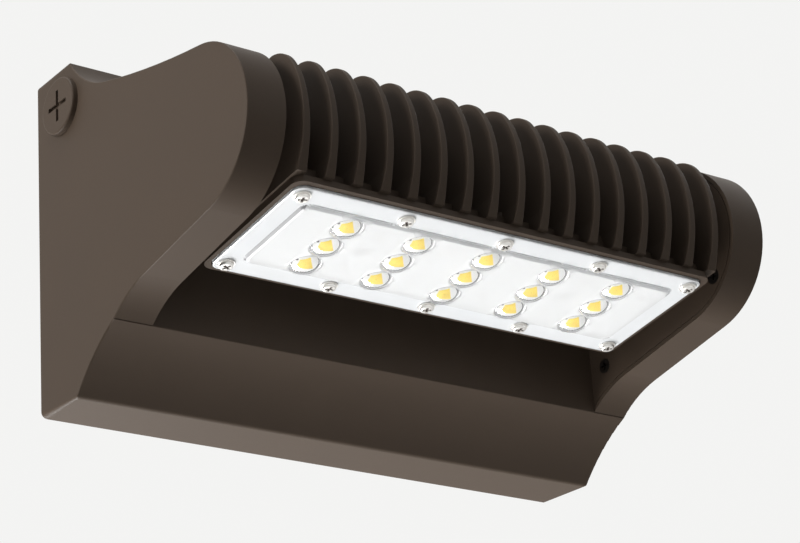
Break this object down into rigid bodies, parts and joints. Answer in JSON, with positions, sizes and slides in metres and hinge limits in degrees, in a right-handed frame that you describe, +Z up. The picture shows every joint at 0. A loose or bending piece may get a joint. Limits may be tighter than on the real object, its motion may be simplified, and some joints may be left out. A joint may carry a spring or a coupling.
{
  "type": "wall pack light",
  "caption": "Wide cast outdoor wall light with a finned LED head that tilts between two arms, a white lens panel, a plugged conduit entry in each side and a flat back plate.",
  "frame": {"origin": "centre of the wall plate's back face, which is the middle of its wire hole", "axes": "+Z up, +Y into the wall, the light faces -Y, +X to the right of someone facing the wall"},
  "size_m": [0.306, 0.175, 0.168],
  "materials": {
    "housing_coat": "fine textured powder coat over die-cast aluminium, satin",
    "head_coat": "fine textured powder coat over die-cast aluminium, satin",
    "cover_coat": "fine textured powder coat, satin",
    "plug_coat": "powder coat, satin, worn at the slots",
    "plate_steel": "zinc plated sheet, dull",
    "stainless": "stainless steel, turned and brushed",
    "spring_steel": "spring steel, oiled",
    "ground_green": "green dyed zinc",
    "seal_rubber": "moulded silicone rubber, matte",
    "seal_white": "moulded white silicone, matte",
    "lens_plastic": "clear moulded acrylic that looks white over its board",
    "board_white": "white solder mask on an aluminium board",
    "phosphor": "yellow phosphor under clear silicone",
    "driver_shell": "extruded, plain",
    "black_plastic": "moulded, fine grain",
    "terminal_plastic": "moulded polyamide",
    "friction_fibre": "pressed fibre disc",
    "bush_bronze": "sintered bronze",
    "lead_sheath": "black sheath, matte",
    "wire_white": "white insulation"
  },
  "bodies": {
    "housing": {"housing": "housing_coat", "wall_plate": "plate_steel", "plate_gasket": "seal_rubber", "plate_posts": "stainless", "housing_screws": "stainless", "housing_screw_seals": "seal_rubber", "conduit_plug_left": "plug_coat", "conduit_plug_right": "plug_coat", "conduit_plug_seals": "seal_rubber", "ground_screw": "ground_green", "driver_case": "driver_shell", "driver_end_caps": "black_plastic", "driver_screws": "stainless", "surge_protector": "black_plastic", "terminal_block": "terminal_plastic", "device_screws": "stainless", "driver_lead": "lead_sheath", "supply_wires": "wire_white", "surge_wire": "wire_white", "arm_cover_left": "cover_coat", "arm_cover_right": "cover_coat", "arm_cover_screws": "stainless", "pivot_bush_left": "bush_bronze", "pivot_bush_right": "bush_bronze"},
    "head": {"trunnion_left": "stainless", "trunnion_right": "stainless", "friction_washer_left": "friction_fibre", "friction_washer_right": "friction_fibre", "spring_washer_left": "spring_steel", "spring_washer_right": "spring_steel", "lock_nut_left": "stainless", "lock_nut_right": "stainless", "stop_pin_left": "stainless", "stop_pin_right": "stainless", "head_casting": "head_coat", "led_board": "board_white", "leds": "phosphor", "board_screws": "stainless", "lens_gasket": "seal_white", "lens_panel": "lens_plastic", "lens_washers": "stainless", "lens_screws": "stainless", "head_lead": "lead_sheath"}
  },
  "joints": [
    {"name": "head_tilt", "type": "hinge", "parent": "housing", "child": "head", "pos_m": [0, -0.136, 0.005], "axis": [-1, 0, 0], "range_deg": [-9.2, 80.8]}
  ]
}
